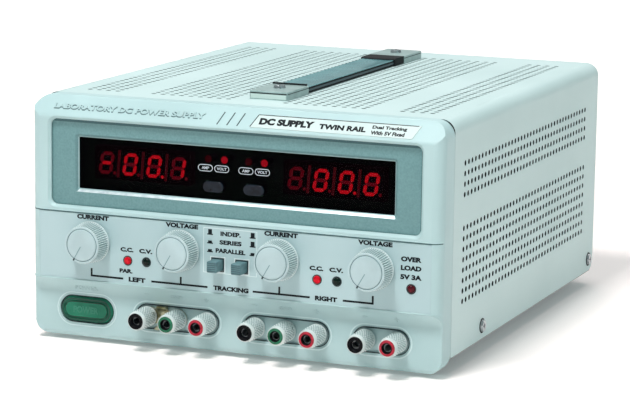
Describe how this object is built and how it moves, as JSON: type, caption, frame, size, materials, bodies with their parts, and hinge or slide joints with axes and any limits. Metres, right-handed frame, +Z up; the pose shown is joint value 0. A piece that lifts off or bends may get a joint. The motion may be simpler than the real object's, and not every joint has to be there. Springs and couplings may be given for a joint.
{
  "type": "bench power supply",
  "caption": "Bench power supply: perforated steel case, two digital displays, rotary controls, screw-cap output posts, push power switch and a flat strap handle on top.",
  "frame": {"origin": "centre of the footprint, on the surface the feet stand on", "axes": "+X to the right as the user sees the front, -Y out of the front panel, +Z up"},
  "size_m": [0.2582, 0.335, 0.1516],
  "materials": {
    "case_paint": "light grey-green textured paint",
    "bezel_plastic": "fine-textured moulding",
    "surround_plastic": "fine-textured moulding",
    "window_filter": "smoked filter",
    "panel_plate": "satin printed plate",
    "plate_white": "satin",
    "knob_plastic": "satin moulding",
    "button_grey": "satin moulding",
    "power_green": "translucent green",
    "switch_dark": "dark gloss",
    "post_grey": "knurled moulding",
    "ring_black": "gloss",
    "ring_green": "gloss",
    "ring_red": "gloss",
    "brass_plain": "turned brass",
    "plain_steel": "zinc-plated sheet",
    "bright_steel": "nickel-plated",
    "cap_metal": "satin",
    "dark_metal": "plated",
    "black_rubber": "satin",
    "foot_grey": "matte moulded pads",
    "inlay_vinyl": "satin strip",
    "core_iron": "varnished laminations",
    "winding_copper": "taped winding",
    "board_green": "solder mask",
    "sleeve_dark": "sleeved can",
    "black_aluminium": "black anodised",
    "fan_plastic": "moulded",
    "digit_lens": "tinted",
    "lamp_lens": "tinted"
  },
  "bodies": {
    "case": {"chassis_tray": "plain_steel", "top_cover": "case_paint", "front_bezel": "bezel_plastic", "rear_panel": "case_paint", "display_surround": "surround_plastic", "display_window": "window_filter", "control_panel": "panel_plate", "name_plate": "plate_white", "feet": "foot_grey", "case_screws": "bright_steel", "handle_strap": "black_rubber", "handle_inlay": "inlay_vinyl", "handle_cap_front": "cap_metal", "handle_cap_rear": "cap_metal", "potentiometers": "dark_metal", "push_switches": "dark_metal", "post_studs": "brass_plain", "post_blocks": "bezel_plastic", "shorting_link": "brass_plain", "transformer_core": "core_iron", "transformer_windings": "winding_copper", "main_board": "board_green", "display_board": "board_green", "capacitors": "sleeve_dark", "heat_sink": "black_aluminium", "power_transistors": "switch_dark", "fan_frame": "fan_plastic", "mains_inlet": "fan_plastic", "digit_modules": "digit_lens", "indicator_leds": "lamp_lens"},
    "knob_left_current": {"knob_left_current": "knob_plastic", "shaft_left_current": "bright_steel"},
    "knob_left_voltage": {"knob_left_voltage": "knob_plastic", "shaft_left_voltage": "bright_steel"},
    "knob_right_current": {"knob_right_current": "knob_plastic", "shaft_right_current": "bright_steel"},
    "knob_right_voltage": {"knob_right_voltage": "knob_plastic", "shaft_right_voltage": "bright_steel"},
    "ring_1": {"post_ring_1": "ring_black"},
    "cap_1": {"post_cap_1": "post_grey"},
    "ring_2": {"post_ring_2": "ring_green"},
    "cap_2": {"post_cap_2": "post_grey"},
    "ring_3": {"post_ring_3": "ring_red"},
    "cap_3": {"post_cap_3": "post_grey"},
    "ring_4": {"post_ring_4": "ring_black"},
    "cap_4": {"post_cap_4": "post_grey"},
    "ring_5": {"post_ring_5": "ring_green"},
    "cap_5": {"post_cap_5": "post_grey"},
    "ring_6": {"post_ring_6": "ring_red"},
    "cap_6": {"post_cap_6": "post_grey"},
    "ring_7": {"post_ring_7": "ring_black"},
    "cap_7": {"post_cap_7": "post_grey"},
    "ring_8": {"post_ring_8": "ring_red"},
    "cap_8": {"post_cap_8": "post_grey"},
    "tracking_left": {"tracking_button_left": "button_grey"},
    "tracking_right": {"tracking_button_right": "button_grey"},
    "meter_left": {"meter_button_left": "switch_dark"},
    "meter_right": {"meter_button_right": "switch_dark"},
    "power": {"power_button": "power_green"},
    "fan": {"fan_rotor": "fan_plastic"}
  },
  "joints": [
    {"name": "left_current_turn", "type": "hinge", "parent": "case", "child": "knob_left_current", "pos_m": [-0.088, -0.1545, 0.0613], "axis": [0, 1, 0], "range_deg": [0, 300]},
    {"name": "left_voltage_turn", "type": "hinge", "parent": "case", "child": "knob_left_voltage", "pos_m": [-0.0308, -0.1545, 0.0613], "axis": [0, 1, 0], "range_deg": [0, 300]},
    {"name": "right_current_turn", "type": "hinge", "parent": "case", "child": "knob_right_current", "pos_m": [0.0308, -0.1545, 0.0613], "axis": [0, 1, 0], "range_deg": [0, 300]},
    {"name": "right_voltage_turn", "type": "hinge", "parent": "case", "child": "knob_right_voltage", "pos_m": [0.088, -0.1545, 0.0613], "axis": [0, 1, 0], "range_deg": [0, 300]},
    {"name": "post_1_advance", "type": "slide", "parent": "case", "child": "ring_1", "axis": [0, -1, 0], "range_m": [0, 0.003]},
    {"name": "post_1_turn", "type": "hinge", "parent": "ring_1", "child": "cap_1", "pos_m": [-0.05445, -0.1545, 0.0191], "axis": [0, -1, 0], "range_deg": [0, 1085]},
    {"name": "post_2_advance", "type": "slide", "parent": "case", "child": "ring_2", "axis": [0, -1, 0], "range_m": [0, 0.003]},
    {"name": "post_2_turn", "type": "hinge", "parent": "ring_2", "child": "cap_2", "pos_m": [-0.0354, -0.1545, 0.0191], "axis": [0, -1, 0], "range_deg": [0, 1085]},
    {"name": "post_3_advance", "type": "slide", "parent": "case", "child": "ring_3", "axis": [0, -1, 0], "range_m": [0, 0.003]},
    {"name": "post_3_turn", "type": "hinge", "parent": "ring_3", "child": "cap_3", "pos_m": [-0.01635, -0.1545, 0.0191], "axis": [0, -1, 0], "range_deg": [0, 1085]},
    {"name": "post_4_advance", "type": "slide", "parent": "case", "child": "ring_4", "axis": [0, -1, 0], "range_m": [0, 0.003]},
    {"name": "post_4_turn", "type": "hinge", "parent": "ring_4", "child": "cap_4", "pos_m": [0.01395, -0.1545, 0.0191], "axis": [0, -1, 0], "range_deg": [0, 1085]},
    {"name": "post_5_advance", "type": "slide", "parent": "case", "child": "ring_5", "axis": [0, -1, 0], "range_m": [0, 0.003]},
    {"name": "post_5_turn", "type": "hinge", "parent": "ring_5", "child": "cap_5", "pos_m": [0.033, -0.1545, 0.0191], "axis": [0, -1, 0], "range_deg": [0, 1085]},
    {"name": "post_6_advance", "type": "slide", "parent": "case", "child": "ring_6", "axis": [0, -1, 0], "range_m": [0, 0.003]},
    {"name": "post_6_turn", "type": "hinge", "parent": "ring_6", "child": "cap_6", "pos_m": [0.05205, -0.1545, 0.0191], "axis": [0, -1, 0], "range_deg": [0, 1085]},
    {"name": "post_7_advance", "type": "slide", "parent": "case", "child": "ring_7", "axis": [0, -1, 0], "range_m": [0, 0.003]},
    {"name": "post_7_turn", "type": "hinge", "parent": "ring_7", "child": "cap_7", "pos_m": [0.08138, -0.1545, 0.0191], "axis": [0, -1, 0], "range_deg": [0, 1085]},
    {"name": "post_8_advance", "type": "slide", "parent": "case", "child": "ring_8", "axis": [0, -1, 0], "range_m": [0, 0.003]},
    {"name": "post_8_turn", "type": "hinge", "parent": "ring_8", "child": "cap_8", "pos_m": [0.10043, -0.1545, 0.0191], "axis": [0, -1, 0], "range_deg": [0, 1085]},
    {"name": "tracking_left_push", "type": "slide", "parent": "case", "child": "tracking_left", "axis": [0, 1, 0], "range_m": [0, 0.0045]},
    {"name": "tracking_right_push", "type": "slide", "parent": "case", "child": "tracking_right", "axis": [0, 1, 0], "range_m": [0, 0.0045]},
    {"name": "meter_left_push", "type": "slide", "parent": "case", "child": "meter_left", "axis": [0, 1, 0], "range_m": [0, 0.002]},
    {"name": "meter_right_push", "type": "slide", "parent": "case", "child": "meter_right", "axis": [0, 1, 0], "range_m": [0, 0.002]},
    {"name": "power_push", "type": "slide", "parent": "case", "child": "power", "axis": [0, -1, 0], "range_m": [-0.0005, 0.0035]},
    {"name": "fan_spin", "type": "hinge", "parent": "case", "child": "fan", "pos_m": [-0.062, 0.1305, 0.088], "axis": [0, 1, 0], "continuous": true}
  ],
  "couplings": [
    {"joint": "post_1_turn", "follows": "post_1_advance", "rad_per_m": 6283.2},
    {"joint": "post_2_turn", "follows": "post_2_advance", "rad_per_m": 6283.2},
    {"joint": "post_3_turn", "follows": "post_3_advance", "rad_per_m": 6283.2},
    {"joint": "post_4_turn", "follows": "post_4_advance", "rad_per_m": 6283.2},
    {"joint": "post_5_turn", "follows": "post_5_advance", "rad_per_m": 6283.2},
    {"joint": "post_6_turn", "follows": "post_6_advance", "rad_per_m": 6283.2},
    {"joint": "post_7_turn", "follows": "post_7_advance", "rad_per_m": 6283.2},
    {"joint": "post_8_turn", "follows": "post_8_advance", "rad_per_m": 6283.2}
  ]
}
